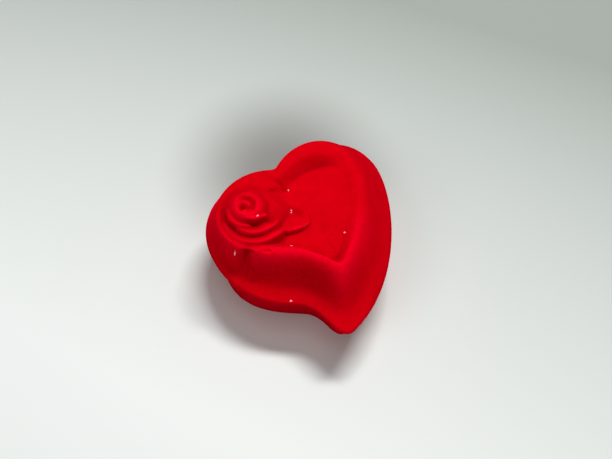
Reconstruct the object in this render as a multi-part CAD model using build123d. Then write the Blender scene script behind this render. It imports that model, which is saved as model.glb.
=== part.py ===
from build123d import *
import math
import os

# A hinged heart-shaped box for a finger ring, in millimetres, +Z up, standing on z = 0.
# +X is to the right of someone facing the tip of the heart, and the hinge is at the back, at +Y.

# Overall sizes
lid_width = 53.0
lid_length = 52.0
base_height = 17.0
shell_wall = 2.1
floor_thickness = 1.6
parting_gap = 0.2
cut_overrun = 2.0

# Lid heights above its own rim
lip_height = 1.2
flare_rise = 2.2
waist_rise = 5.3
shoulder_rise = 9.2
ridge_rise = 11.1
panel_rise = 9.0
roof_thickness = 2.1

# Base taper
lid_overhang = 0.9
base_draft = 1.5
rim_tip_pull = 0.6
foot_tip_pull = 4.2
foot_bevel = 0.7

# Rose on the lid
rose_radius = 8.6
rose_height = 7.3
rose_root = 1.2
petal_count = 7
petal_lip = 1.3
petal_lean = 0.5
petal_dip = 1.1
bud_radius = 1.5
petal_sweep_deg = 235.0
petal_step_deg = 138.0
petal_first_deg = 20.0
petal_first_climb = 2

# Leaves on the lid
leaf_length = 11.2
leaf_width = 10.6
leaf_height = 1.3
leaf_root = 0.9
leaf_rib_depth = 0.6

# Ring cushion in the base
board_thickness = 0.8
cushion_height = 8.4
cushion_crown = 1.6
cushion_crown_inset = 2.6
cushion_clearance = 0.3
cover_thickness = 0.5
slit_length = 24.0
slit_width = 1.2
slit_depth = 6.4

# Lining in the lid
lining_board_thickness = 0.7
lining_foam_thickness = 1.1
lining_crown = 0.7
lining_crown_inset = 2.2
lining_cover_thickness = 0.4
lining_clearance = 0.35

# Hinge
pin_radius = 0.6
pin_clearance = 0.05
pin_head_radius = 0.95
pin_head_thickness = 0.4
knuckle_wall = 0.55
knuckle_length = 1.8
knuckle_gap = 0.15
leaf_thickness = 0.5
leaf_gap = 0.2
hinge_setback = 0.1
tongue_depth = 5.0
tongue_setback = 3.4
hinge_block_depth = 2.2
hinge_block_side = 1.2
hinge_block_height = 5.8
leaf_clearance = 0.15

# Hinge spring
spring_room = 3.4
spring_wire_radius = 0.2
spring_clearance = 0.15
spring_turns = 2
spring_leg = 4.0

# Heart outlines, each a closed ring of six cubic curves: point, handle, handle, point and so on,
# clockwise from the cleft, as shares of half the lid's width and half its length.
rim_shares = (
    (-0.02, 0.829), (0.36, 1.156), (1.005, 1.102),
    (1, 0.52), (0.98, 0.06), (0.48, -0.8),
    (-0.17, -0.978), (-0.27, -1.018), (-0.3, -0.95),
    (-0.33, -0.866), (-0.37, -0.674), (-0.405, -0.568),
    (-0.515, -0.487), (-0.735, -0.357), (-1.01, -0.085),
    (-1, 0.347), (-1, 0.93), (-0.46, 1.233),
)
ridge_shares = (
    (-0.075, 0.753), (0.105, 0.939), (0.65, 1.035),
    (0.6, 0.405), (0.6, 0.177), (0.347, -0.2),
    (0.019, -0.446), (-0.023, -0.481), (-0.064, -0.496),
    (-0.087, -0.446), (-0.109, -0.392), (-0.192, -0.277),
    (-0.287, -0.181), (-0.415, -0.054), (-0.842, 0.046),
    (-0.838, 0.373), (-0.84, 0.70), (-0.434, 0.981),
)
well_shares = (
    (-0.068, 0.562), (0.098, 0.677), (0.513, 0.723),
    (0.502, 0.369), (0.49, 0.177), (0.257, -0.139),
    (0.008, -0.33), (-0.019, -0.354), (-0.045, -0.357),
    (-0.064, -0.323), (-0.087, -0.273), (-0.158, -0.17),
    (-0.238, -0.089), (-0.36, 0.031), (-0.51, 0.135),
    (-0.51, 0.328), (-0.49, 0.597), (-0.19, 0.636),
)
# How much of the base's pull towards the tip each point takes, from the tip's first point on
tip_start = 6
tip_pull_shares = (0.88, 1.05, 1.05, 0.98, 0.83, 0.76, 0.76, 0.98, 0.10)
# The point that nested outlines shrink towards, from which the whole heart can be seen
heart_centre_shares = (0.15, 0.08)
# How far in the outlines between the rim and the ridge lie, and the one between the ridge and the well
flare_blend_share = 0.12
waist_blend_share = 0.38
ceiling_blend_share = 0.52
shoulder_blend_share = 0.68
crest_blend_share = 0.30
rose_centre_shares = (-0.487, 0.392)
bud_centre_shares = (-0.513, 0.415)
leaf_base_shares = (-0.325, 0.369)
leaf_turn_deg = -43.0
leaf_reach_share = 0.75
slit_centre_shares = (0.0, 0.12)

half_width = lid_width / 2
half_length = lid_length / 2
rim_z = base_height
base_top_z = rim_z - parting_gap
hinge_z = rim_z - parting_gap / 2
hinge_x = rim_shares[0][0] * half_width
hinge_y = half_length - hinge_setback
knuckle_radius = pin_radius + pin_clearance + knuckle_wall
barrel_half = spring_room / 2 + knuckle_gap + knuckle_length + knuckle_gap + knuckle_length
tongue_y = rim_shares[0][1] * half_length - tongue_setback


def place(shares):
    return Vector(shares[0] * half_width, shares[1] * half_length)


def blend(first, second, amount_share):
    """An outline between two others, a share of the way from the first."""
    return tuple(tuple(p + (q - p) * amount_share for p, q in zip(a, b)) for a, b in zip(first, second))


def heart_wire(shares, z, inset=0):
    """A heart outline at height z, drawn in by inset at its widest."""
    centre = place(heart_centre_shares)
    kept_share = 1 - inset / half_width
    points = [centre + (place(pair) - centre) * kept_share for pair in shares]
    points = [Vector(p.X, p.Y, z) for p in points]
    ring = points + points[:1]
    return Wire([Bezier(*ring[i:i + 4]) for i in range(0, len(points), 3)])


def heart_loft(sections, ruled=True):
    return Part() + Solid.make_loft(sections, ruled)


def block(x_low, x_high, y_low, y_high, z_low, z_high):
    size = (x_high - x_low, y_high - y_low, z_high - z_low)
    middle = ((x_low + x_high) / 2, (y_low + y_high) / 2, (z_low + z_high) / 2)
    return Pos(*middle) * Box(*size)


def blunted(shares, pull):
    """An outline with the points of its tip drawn in towards the heart's centre by pull."""
    centre = place(heart_centre_shares)
    moved = list(shares)
    for i, pull_share in enumerate(tip_pull_shares, tip_start):
        arm = place(shares[i]) - centre
        kept_share = 1 - pull * pull_share / arm.length
        moved[i] = tuple(c + (s - c) * kept_share for c, s in zip(heart_centre_shares, shares[i]))
    return tuple(moved)


flare_shares = blend(rim_shares, ridge_shares, flare_blend_share)
waist_shares = blend(rim_shares, ridge_shares, waist_blend_share)
ceiling_shares = blend(rim_shares, ridge_shares, ceiling_blend_share)
shoulder_shares = blend(rim_shares, ridge_shares, shoulder_blend_share)
crest_shares = blend(ridge_shares, well_shares, crest_blend_share)


# Hinge blocks and the cuts for the leaves, shared by both shells

block_half = barrel_half + hinge_block_side
block_front = tongue_y - leaf_thickness / 2 - hinge_block_depth
leaf_half = barrel_half + leaf_clearance
tongue_half = barrel_half - knuckle_length
leaf_slot = leaf_gap / 2 + leaf_thickness + leaf_clearance
coil_radius = pin_radius + spring_clearance + spring_wire_radius
spring_slot = coil_radius + spring_wire_radius + leaf_clearance
spring_half = spring_room / 2
pin_half = barrel_half + knuckle_gap


def hinge_block(side):
    """Solid behind the cleft that carries a leaf, below the parting for side -1, above it for 1."""
    far_z = hinge_z + side * hinge_block_height
    low, high = min(hinge_z, far_z), max(hinge_z, far_z)
    return block(hinge_x - block_half, hinge_x + block_half, block_front, half_length, low, high)


def along_x(x_low, x_high, radius):
    middle = (x_low + x_high) / 2
    return Pos(middle, hinge_y, hinge_z) * Rot(0, math.degrees(math.pi / 2), 0) * Cylinder(
        radius, x_high - x_low)


def hinge_cuts(side):
    """Room for the barrel, and slots for the leaf plate and the spring's leg, open to the cleft."""
    back = half_length + cut_overrun
    plate_front = tongue_y - leaf_thickness / 2 - leaf_clearance
    spring_front = hinge_y - spring_leg - leaf_clearance
    room_half = pin_half + pin_head_thickness + leaf_clearance
    cuts = [along_x(hinge_x - room_half, hinge_x + room_half, knuckle_radius + leaf_clearance)]
    for half, front, depth in (
        (leaf_half, plate_front, leaf_slot),
        (spring_half, spring_front, spring_slot),
    ):
        far_z = hinge_z + side * depth
        near_z = hinge_z - side * cut_overrun
        low, high = min(near_z, far_z), max(near_z, far_z)
        cuts.append(block(hinge_x - half, hinge_x + half, front, back, low, high))
    return cuts


def tongue(side):
    far_z = hinge_z + side * (leaf_gap / 2 + tongue_depth)
    near_z = hinge_z + side * leaf_gap / 2
    low, high = min(near_z, far_z), max(near_z, far_z)
    front = tongue_y - leaf_thickness / 2
    return block(hinge_x - tongue_half, hinge_x + tongue_half, front, front + leaf_thickness, low, high)


# Lid shell

def petal_radius(index):
    innermost = bud_radius + petal_lip + petal_lean
    return rose_radius + (innermost - rose_radius) * index / (petal_count - 1)


def petal_top(index):
    """Height of a petal's lip: the petals climb in a dome from the outermost to the bud."""
    climb_share = math.sin(math.pi / 2 * (index + petal_first_climb) / (petal_count + petal_first_climb))
    return rim_z + panel_rise + rose_height * climb_share


def petal_centre(index):
    inner_share = index / petal_count
    return place(rose_centre_shares) * (1 - inner_share) + place(bud_centre_shares) * inner_share


def petal(index):
    """One curled petal: part of a turned wall that leans in and ends in a rounded lip."""
    radius = petal_radius(index)
    low = rim_z + panel_rise - rose_root
    top = petal_top(index)
    lip_out = radius - petal_lean
    lip_in = lip_out - petal_lip
    shoulder = top - petal_lip / 2
    outline = [
        Line((lip_in, low), (radius, low)),
        Line((radius, low), (lip_out, shoulder)),
        ThreePointArc((lip_out, shoulder), (lip_out - petal_lip / 2, top), (lip_in, shoulder)),
        Line((lip_in, shoulder), (lip_in, low)),
    ]
    wall = revolve(Plane.XZ * make_face(outline), Axis.Z, petal_sweep_deg)
    centre = petal_centre(index)
    return Pos(centre.X, centre.Y) * Rot(0, 0, petal_first_deg + index * petal_step_deg) * wall


def rose():
    """A dome that the petals stand in, the petals one after another, and the bud in the middle."""
    low = rim_z + panel_rise - rose_root
    rings = []
    for index in range(petal_count):
        centre = petal_centre(index)
        level = petal_top(index) - petal_dip
        rings.append(Pos(centre.X, centre.Y, level) * Circle(petal_radius(index) - petal_lean).wire())
    foot = place(rose_centre_shares)
    rings.insert(0, Pos(foot.X, foot.Y, low) * Circle(rose_radius - petal_lean).wire())
    flower = heart_loft(rings)
    for index in range(petal_count):
        flower += petal(index)
    centre = place(bud_centre_shares)
    bud_top = rim_z + panel_rise + rose_height
    bud = Pos(centre.X, centre.Y, bud_top - rose_height / 2) * Cylinder(bud_radius, rose_height)
    return flower + fillet(bud.edges().group_by(Axis.Z)[-1], bud_radius / 2)


def leaf():
    """The leaf that points from the rose across the panel, with a groove for its rib."""
    base = place(leaf_base_shares)
    low = rim_z + panel_rise - leaf_root
    reach = leaf_width / 2 / leaf_reach_share
    outline = [
        Bezier((0, 0), (0, reach), (leaf_length / 2, reach), (leaf_length, 0)),
        Bezier((leaf_length, 0), (leaf_length / 2, -reach), (0, -reach), (0, 0)),
    ]
    height = leaf_root + leaf_height
    blade = extrude(make_face(outline), height)
    rib = Pos(leaf_length / 2, 0, height) * Rot(math.degrees(math.pi / 4), 0, 0) * Box(
        leaf_length, leaf_rib_depth * math.sqrt(2), leaf_rib_depth * math.sqrt(2))
    return Pos(base.X, base.Y, low) * Rot(0, 0, leaf_turn_deg) * (blade - rib)


def lid_outside():
    lip = heart_loft([heart_wire(rim_shares, rim_z), heart_wire(rim_shares, rim_z + lip_height)])
    crown = heart_loft(
        [
            heart_wire(rim_shares, rim_z + lip_height),
            heart_wire(flare_shares, rim_z + flare_rise),
            heart_wire(waist_shares, rim_z + waist_rise),
            heart_wire(shoulder_shares, rim_z + shoulder_rise),
            heart_wire(ridge_shares, rim_z + ridge_rise),
        ],
        ruled=False,
    )
    return lip + crown


def lid_cavity():
    roof_z = rim_z + panel_rise - roof_thickness
    return heart_loft([
        heart_wire(rim_shares, rim_z, shell_wall),
        heart_wire(flare_shares, rim_z + flare_rise - shell_wall / 2, shell_wall),
        heart_wire(waist_shares, rim_z + waist_rise - shell_wall / 2, shell_wall),
        heart_wire(ceiling_shares, roof_z, shell_wall),
    ])


def lid_shell():
    outside = lid_outside()
    recess = heart_loft([
        heart_wire(well_shares, rim_z + panel_rise), heart_wire(crest_shares, rim_z + ridge_rise)])
    shell = outside - recess
    shell += rose()
    shell += leaf()
    shell -= lid_cavity()
    shell += outside & hinge_block(1)
    for cut in hinge_cuts(1):
        shell -= cut
    return shell - tongue(1)


# Base shell

def base_wire(z, inset=0):
    """The base outline at height z: the lid's rim drawn in towards the floor, most of all at its tip."""
    fallen_share = (base_top_z - z) / base_top_z
    shares = blunted(rim_shares, rim_tip_pull + (foot_tip_pull - rim_tip_pull) * fallen_share)
    return heart_wire(shares, z, lid_overhang + base_draft * fallen_share + inset)


def base_shell():
    outside = heart_loft([base_wire(0, foot_bevel), base_wire(foot_bevel), base_wire(base_top_z)])
    cavity = heart_loft([base_wire(floor_thickness, shell_wall), base_wire(base_top_z, shell_wall)])
    shell = outside - cavity
    shell += outside & hinge_block(-1)
    for cut in hinge_cuts(-1):
        shell -= cut
    return shell - tongue(-1)


# Hinge

def knuckles(inner):
    """A pair of knuckles, one each side of the spring, either next to it or outside that pair."""
    start = spring_room / 2 + knuckle_gap
    if not inner:
        start += knuckle_length + knuckle_gap
    pair = []
    for side in (-1, 1):
        middle = hinge_x + side * (start + knuckle_length / 2)
        pair.append((middle - knuckle_length / 2, middle + knuckle_length / 2))
    return pair


def hinge_leaf(side, inner):
    """A leaf: knuckles on the pin, a flat plate through the rim and a tongue into the shell."""
    near_z = hinge_z + side * leaf_gap / 2
    far_z = near_z + side * leaf_thickness
    low, high = min(near_z, far_z), max(near_z, far_z)
    plate_back = hinge_y - knuckle_radius - knuckle_gap
    front = tongue_y - leaf_thickness / 2
    leaf_body = block(hinge_x - barrel_half, hinge_x + barrel_half, front, plate_back, low, high)
    leaf_body -= block(
        hinge_x - spring_half, hinge_x + spring_half, hinge_y - spring_leg, plate_back, low, high)
    for x_low, x_high in knuckles(inner):
        leaf_body += along_x(x_low, x_high, knuckle_radius)
        leaf_body += block(x_low, x_high, plate_back, hinge_y, low, high)
        leaf_body -= along_x(x_low, x_high, pin_radius + pin_clearance)
    return leaf_body + tongue(side)


def hinge_pin():
    pin = along_x(hinge_x - pin_half, hinge_x + pin_half, pin_radius)
    for side in (-1, 1):
        x_near = hinge_x + side * pin_half
        x_far = x_near + side * pin_head_thickness
        pin += along_x(min(x_near, x_far), max(x_near, x_far), pin_head_radius)
    return pin


def coil_point(turn):
    """A point of the spring's centre line, from its bottom, turn counted in whole turns."""
    pitch = (spring_room - 2 * spring_clearance - 2 * spring_wire_radius) / (spring_turns + 0.5)
    start = hinge_x - spring_room / 2 + spring_clearance + spring_wire_radius
    angle = math.tau * turn
    return Vector(
        start + pitch * turn,
        hinge_y + coil_radius * math.sin(angle),
        hinge_z - coil_radius * math.cos(angle),
    )


def hinge_spring():
    """A wire wound on the pin, one leg under the base's leaf and the other over the lid's leaf."""
    quarters = 4 * spring_turns + 2
    arcs = []
    for i in range(quarters):
        a, m, b = (coil_point((i + part) / 4) for part in (0, 0.5, 1))
        arcs.append(ThreePointArc(a, m, b))
    first = coil_point(0)
    last = coil_point(quarters / 4)
    legs = [Line(first - Vector(0, spring_leg), first), Line(last, last - Vector(0, spring_leg))]
    path = Wire([legs[0]] + arcs + [legs[1]])
    section = Plane(path @ 0, z_dir=path % 0) * Circle(spring_wire_radius)
    return sweep(section, path), path


def least_gap(path, wire_radius, count, skip):
    """The least clear distance between parts of a wound wire that aren't neighbours along it."""
    points = [path @ (i / count) for i in range(count + 1)]
    nearest = min(
        (points[i] - points[j]).length
        for i in range(len(points))
        for j in range(i + skip, len(points))
    )
    return nearest - 2 * wire_radius


# Ring cushion

def hinge_keepout(clearance):
    """Room round the hinge blocks, left free by the cushion and the lining."""
    return block(
        hinge_x - block_half - clearance, hinge_x + block_half + clearance,
        block_front - clearance, half_length, 0, rim_z + ridge_rise)


cushion_low = floor_thickness
foam_low = cushion_low + board_thickness
foam_top = cushion_low + cushion_height - cover_thickness


def slit(extra, depth_extra):
    centre = place(slit_centre_shares)
    half = slit_length / 2 + extra
    half_gap = slit_width / 2 + extra
    low = foam_top + cover_thickness - slit_depth - depth_extra
    return block(
        centre.X - half, centre.X + half, centre.Y - half_gap, centre.Y + half_gap,
        low, foam_top + cover_thickness + cut_overrun)


def cushion_body(low, top, skin):
    """A crowned cushion that fills the base's cavity, drawn in by its clearance and by skin."""
    inset = shell_wall + cushion_clearance + skin
    shoulder = top - cushion_crown
    return heart_loft([
        base_wire(low, inset), base_wire(shoulder, inset), base_wire(top, inset + cushion_crown_inset),
    ])


def insert_board():
    inset = shell_wall + cushion_clearance + cover_thickness
    board = heart_loft([base_wire(cushion_low, inset), base_wire(foam_low, inset)])
    return board - hinge_keepout(cushion_clearance + cover_thickness)


def ring_foam():
    foam = cushion_body(foam_low, foam_top, cover_thickness)
    foam -= hinge_keepout(cushion_clearance + cover_thickness)
    return foam - slit(cover_thickness, cover_thickness)


def ring_cover():
    skin = cushion_body(cushion_low, foam_top + cover_thickness, 0)
    skin -= hinge_keepout(cushion_clearance)
    skin -= insert_board()
    skin -= ring_foam()
    return skin - slit(0, 0)


# Lid lining

roof_z = rim_z + panel_rise - roof_thickness


def lining_body(low, high, skin, crown):
    """A pad under the lid's roof, drawn in from the ceiling's outline, crowned downwards."""
    inset = shell_wall + lining_clearance + skin
    if not crown:
        return heart_loft([heart_wire(ceiling_shares, low, inset), heart_wire(ceiling_shares, high, inset)])
    return heart_loft([
        heart_wire(ceiling_shares, low, inset + lining_crown_inset),
        heart_wire(ceiling_shares, low + crown, inset),
        heart_wire(ceiling_shares, high, inset),
    ])


lining_board_low = roof_z - lining_board_thickness
lining_foam_low = lining_board_low - lining_foam_thickness


def lining_board():
    board = lining_body(lining_board_low, roof_z, lining_cover_thickness, 0)
    return board - hinge_keepout(lining_clearance + lining_cover_thickness)


def lining_foam():
    foam = lining_body(lining_foam_low, lining_board_low, lining_cover_thickness, lining_crown)
    return foam - hinge_keepout(lining_clearance + lining_cover_thickness)


def lining_cover():
    skin = lining_body(lining_foam_low - lining_cover_thickness, roof_z, 0, lining_crown)
    skin -= hinge_keepout(lining_clearance)
    skin -= lining_board()
    return skin - lining_foam()


spring_solid, spring_path = hinge_spring()
spring_gap_points = 240
spring_gap_skip = 24
gap = least_gap(spring_path, spring_wire_radius, spring_gap_points, spring_gap_skip)
print(f"hinge spring: least gap to itself {gap:.2f} mm")

nodes = {
    "lid_shell": lid_shell(),
    "base_shell": base_shell(),
    "base_hinge_leaf": hinge_leaf(-1, inner=False),
    "lid_hinge_leaf": hinge_leaf(1, inner=True),
    "hinge_pin": hinge_pin(),
    "hinge_spring": spring_solid,
    "insert_board": insert_board(),
    "ring_foam": ring_foam(),
    "ring_cover": ring_cover(),
    "lining_board": lining_board(),
    "lining_foam": lining_foam(),
    "lining_cover": lining_cover(),
}

os.makedirs("parts", exist_ok=True)
for name, shape in nodes.items():
    export_step(shape, f"parts/{name}.step")
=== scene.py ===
# %% [markdown]
# A heart-shaped ring box, flocked in red, with a hooked tip and a moulded rose on its lid.
# The CAD model gives the frame: bodies, hinge, sizes. Here each visible piece is modelled again
# with softer forms and gets its finish. Everything is in metres and in the CAD model's own frame.

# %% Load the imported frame
import math

import bmesh
import bpy
import numpy as np
from mathutils import Matrix, Vector


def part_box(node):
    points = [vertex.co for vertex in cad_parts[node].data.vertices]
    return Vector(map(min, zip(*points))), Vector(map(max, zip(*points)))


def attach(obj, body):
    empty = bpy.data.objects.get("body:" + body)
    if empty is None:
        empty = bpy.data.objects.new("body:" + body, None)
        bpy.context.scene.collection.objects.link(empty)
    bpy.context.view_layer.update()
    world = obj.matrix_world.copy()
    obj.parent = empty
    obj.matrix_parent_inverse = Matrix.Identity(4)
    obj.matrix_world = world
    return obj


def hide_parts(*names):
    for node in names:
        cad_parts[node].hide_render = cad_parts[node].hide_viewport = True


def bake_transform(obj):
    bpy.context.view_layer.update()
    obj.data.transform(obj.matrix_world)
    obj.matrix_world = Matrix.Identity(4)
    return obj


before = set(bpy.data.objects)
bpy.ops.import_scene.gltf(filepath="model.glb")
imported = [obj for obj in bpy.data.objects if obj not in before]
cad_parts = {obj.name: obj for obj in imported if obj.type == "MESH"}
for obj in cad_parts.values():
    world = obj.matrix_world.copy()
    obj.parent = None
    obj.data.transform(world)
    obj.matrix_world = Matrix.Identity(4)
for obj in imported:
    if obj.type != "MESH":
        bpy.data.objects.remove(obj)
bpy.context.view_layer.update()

print("nodes:", ", ".join(sorted(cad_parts)))

# %% [markdown]
# The mouldings are easier to think about in millimetres, so points are worked out in
# millimetres and scaled once, when a mesh is made. The lid's own box gives the sizes that the
# outlines are shares of.

# %% Sizes of the box
mm = 0.001
lid_low, lid_high = (np.array(corner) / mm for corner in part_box("lid_shell"))
base_high = [np.array(corner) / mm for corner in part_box("base_shell")][1]
pin_low, pin_high = (np.array(corner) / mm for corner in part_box("hinge_pin"))
half_width = (lid_high[0] - lid_low[0]) / 2
length_to_width = 52.0 / 53.0
half_length = half_width * length_to_width
rim_z = lid_low[2]
base_top_z = base_high[2]
hinge = (pin_low + pin_high) / 2
print("half width", round(half_width, 2), "half length", round(half_length, 2), "rim at", round(rim_z, 2))

# %% [markdown]
# A heart outline is six Bezier curves, written as shares of the half sizes, clockwise from the
# cleft: each point is followed by its two handles. The same walk round the rim is used for all
# outlines, so that point 100 of one outline lies on the same side as point 100 of the next.
# The base's tip is blunter than the lid's, so the points round the tip are drawn in for it.

# %% Heart outlines
rim_shares = (
    (-0.02, 0.829), (0.36, 1.156), (1.005, 1.102),
    (1, 0.52), (0.98, 0.06), (0.48, -0.8),
    (-0.17, -0.978), (-0.27, -1.018), (-0.3, -0.95),
    (-0.33, -0.866), (-0.37, -0.674), (-0.405, -0.568),
    (-0.515, -0.487), (-0.735, -0.357), (-1.01, -0.085),
    (-1, 0.347), (-1, 0.93), (-0.46, 1.233),
)
ridge_shares = (
    (-0.075, 0.753), (0.105, 0.939), (0.65, 1.035),
    (0.6, 0.405), (0.6, 0.177), (0.347, -0.2),
    (0.019, -0.446), (-0.023, -0.481), (-0.064, -0.496),
    (-0.087, -0.446), (-0.109, -0.392), (-0.192, -0.277),
    (-0.287, -0.181), (-0.415, -0.054), (-0.842, 0.046),
    (-0.838, 0.373), (-0.84, 0.70), (-0.434, 0.981),
)
well_shares = (
    (-0.068, 0.562), (0.098, 0.677), (0.513, 0.723),
    (0.502, 0.369), (0.49, 0.177), (0.257, -0.139),
    (0.008, -0.33), (-0.019, -0.354), (-0.045, -0.357),
    (-0.064, -0.323), (-0.087, -0.273), (-0.158, -0.17),
    (-0.238, -0.089), (-0.36, 0.031), (-0.51, 0.135),
    (-0.51, 0.328), (-0.49, 0.597), (-0.19, 0.636),
)
tip_start = 6
tip_pull_shares = (0.88, 1.05, 1.05, 0.98, 0.83, 0.76, 0.76, 0.98, 0.10)
rim_tip_pull = 0.6
foot_tip_pull = 4.2
half_sizes = np.array((half_width, half_length))
heart_centre = half_sizes * (0.15, 0.08)
panel_centre = half_sizes * (0.02, 0.16)
print("outline points and handles:", len(rim_shares), len(ridge_shares), len(well_shares))

# %% Walk round the outlines
curve_count = 6
fine_steps = 6000
softening_parts = 560


def heart_curve(points, walk):
    """Points on the closed outline for a walk from 0 to 6, one unit for each Bezier curve."""
    curve = np.minimum(walk.astype(int), curve_count - 1)
    t = (walk - curve)[:, None]
    p0, p1, p2, p3 = (points[(3 * curve + i) % len(points)] for i in range(4))
    return (1 - t) ** 3 * p0 + 3 * (1 - t) ** 2 * t * p1 + 3 * (1 - t) * t ** 2 * p2 + t ** 3 * p3


def even_walk(points, count):
    """A walk in count steps of equal length."""
    fine = np.linspace(0, curve_count, fine_steps + 1)
    path = heart_curve(points, fine)
    run = np.concatenate([[0], np.cumsum(np.hypot(*np.diff(path, axis=0).T))])
    return np.interp(np.linspace(0, run[-1], count + 1), run, fine)


def soften(ring, spread):
    """Round off a closed ring's corners over a spread, counted in small parts of the way round."""
    spread = spread * (len(ring) - 1) / softening_parts
    reach = int(3 * spread) + 1
    shifts = np.arange(-reach, reach + 1)
    weights = np.exp(-0.5 * (shifts / spread) ** 2)
    weights /= weights.sum()
    soft = sum(weight * np.roll(ring[:-1], shift, axis=0) for shift, weight in zip(shifts, weights))
    return np.concatenate([soft, soft[:1]])


def blunted(points, pull):
    """An outline whose tip is drawn in towards the heart's centre."""
    moved = points.copy()
    for i, share in enumerate(tip_pull_shares, tip_start):
        arm = points[i] - heart_centre
        moved[i] -= arm * pull * share / np.linalg.norm(arm)
    return moved


rim_points = np.array(rim_shares) * half_sizes
steps_round = 480
rim_softening = 2
crest_softening = 4
walk = even_walk(rim_points, steps_round)
rim = soften(heart_curve(rim_points, walk), rim_softening)
base_rim = soften(heart_curve(blunted(rim_points, rim_tip_pull), walk), rim_softening)
base_foot = soften(heart_curve(blunted(rim_points, foot_tip_pull), walk), rim_softening)
ridge = soften(heart_curve(np.array(ridge_shares) * half_sizes, walk), crest_softening)
well = soften(heart_curve(np.array(well_shares) * half_sizes, walk), crest_softening)
print("outline points:", len(rim), "rim spans", np.round(np.ptp(rim, axis=0), 2))

# %% [markdown]
# A moulding is then a skin that flows over a row of stations, each an outline at a height.
# A B-spline passes near the stations without a corner, which is how a flocked moulding looks;
# a station that is given twice pulls the skin into a tighter edge. The skin itself is a flat
# grid from create_grid, rolled up: its columns go round the heart and its rows along the flow.

# %% Helpers for skins
merge_distance = 1e-7
sliver_length = 1e-8


def drawn_in(ring, inset=0.0, share=1.0, centre=heart_centre):
    """An outline drawn in towards a centre, by a length at its widest or by a share."""
    return centre + (ring - centre) * (share - inset / half_width)


def between(first, second, share):
    """A share of the way from a first value to a second."""
    return first + (second - first) * share


def smooth_step(value):
    """A soft change from 0 to 1 while a value goes from 0 to 1."""
    value = np.clip(value, 0, 1)
    return value * value * (3 - 2 * value)


def flow(stations, rows_per_span):
    """Rows of points on a smooth skin over stations of (ring, height)."""
    net = [np.column_stack([ring, np.broadcast_to(z, len(ring))]) for ring, z in stations]
    net = np.array([net[0], net[0]] + net + [net[-1], net[-1]])
    rows = []
    for span in range(len(net) - 3):
        for t in np.linspace(0, 1, rows_per_span, endpoint=False):
            weights = (
                (1 - t) ** 3,
                3 * t ** 3 - 6 * t ** 2 + 4,
                -3 * t ** 3 + 3 * t ** 2 + 3 * t + 1,
                t ** 3,
            )
            rows.append(np.tensordot(np.array(weights) / 6, net[span:span + 4], 1))
    rows.append(net[-1])
    return np.array(rows)


def skin(rows):
    """A closed bmesh over rows of points in mm: a grid rolled up, its seam and poles merged."""
    bm = bmesh.new()
    row_count, column_count = rows.shape[:2]
    bmesh.ops.create_grid(bm, x_segments=column_count - 1, y_segments=row_count - 1, size=1)
    for vert in bm.verts:
        column = round((vert.co.x + 1) / 2 * (column_count - 1))
        row = round((vert.co.y + 1) / 2 * (row_count - 1))
        vert.co = rows[row, column] * mm
    bmesh.ops.remove_doubles(bm, verts=bm.verts, dist=merge_distance)
    bmesh.ops.dissolve_degenerate(bm, edges=bm.edges, dist=sliver_length)
    bmesh.ops.holes_fill(bm, edges=[edge for edge in bm.edges if edge.is_boundary], sides=0)
    bmesh.ops.recalc_face_normals(bm, faces=bm.faces)
    return bm


def piece(name, bm, body, slot, *nodes):
    """A finished object from a bmesh: smooth, riding on its body, for its nodes; its slot is not used."""
    mesh = bpy.data.meshes.new(name)
    bm.to_mesh(mesh)
    bm.free()
    mesh.shade_smooth()
    obj = bpy.data.objects.new(name, mesh)
    bpy.context.collection.objects.link(obj)
    if body:
        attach(obj, body)
    if nodes:
        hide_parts(*nodes)
    triangles = sum(len(p.vertices) - 2 for p in mesh.polygons)
    print(name, "has", triangles, "triangles")
    return obj


# %% [markdown]
# The lid is one moulding: a thin lip at the rim, a hollow flank that sweeps up to a rounded
# crest, and a sunk heart panel inside the crest. The stations are listed from the roof of the
# cavity, round under the rim, and up over the outside to the middle of the panel. The flank is
# hollower at the front than at the sides, so each station's height may change round the heart.

# %% The lid's inside, lip and flank
shell_wall = 2.1
roof_rise = 6.9
ceiling_share = 0.52
flank_softening = 5.5


def flank_ring(share):
    """An outline between the rim and the crest, with its tip rounded off most half way."""
    return soften(between(rim, ridge, share), 1 + flank_softening * math.sin(math.pi * share))


ceiling = flank_ring(ceiling_share)
lid_inside = [
    (drawn_in(ceiling, share=0.0), roof_rise),
    (drawn_in(ceiling, share=0.6), roof_rise),
    (drawn_in(ceiling, shell_wall), roof_rise),
    (drawn_in(ceiling, shell_wall), roof_rise - 0.3),
    (drawn_in(flank_ring(0.38), shell_wall), 3.6),
    (drawn_in(flank_ring(0.12), shell_wall), 1.0),
    (drawn_in(rim, shell_wall), 0.2),
    (drawn_in(rim, shell_wall), 0.0),
]
lid_outside = [
    (drawn_in(rim, 0.9), 0.0),
    (drawn_in(rim, 0.35), 0.0),
    (drawn_in(rim, -0.03), 0.1),
    (drawn_in(rim, -0.05), 0.4),
    (drawn_in(rim, 0.08), 0.74),
    (drawn_in(rim, 0.3), 1.0),
]
flank_table = (
    # share of the way in, height at the side, height at the front
    (0.06, 1.80, 1.17), (0.12, 2.50, 1.40), (0.20, 3.33, 1.74), (0.30, 4.44, 2.20), (0.40, 5.70, 2.95),
    (0.50, 7.00, 4.45), (0.60, 8.30, 6.28), (0.70, 9.49, 8.30), (0.80, 10.43, 9.95), (0.90, 11.0, 10.95),
    (1.00, 11.15, 11.15),
)
front_direction = np.array((-0.5, -0.866))
right_direction = np.array((0.954, -0.3))
full_facing = 0.7
right_gain = 1.25
right_bend = 1.5
sides_softening = 6
rim_ahead = np.roll(rim[:-1], -1, axis=0) - np.roll(rim[:-1], 1, axis=0)
rim_ahead /= np.linalg.norm(rim_ahead, axis=1, keepdims=True)
rim_outward = np.column_stack([-rim_ahead[:, 1], rim_ahead[:, 0]])
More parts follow.
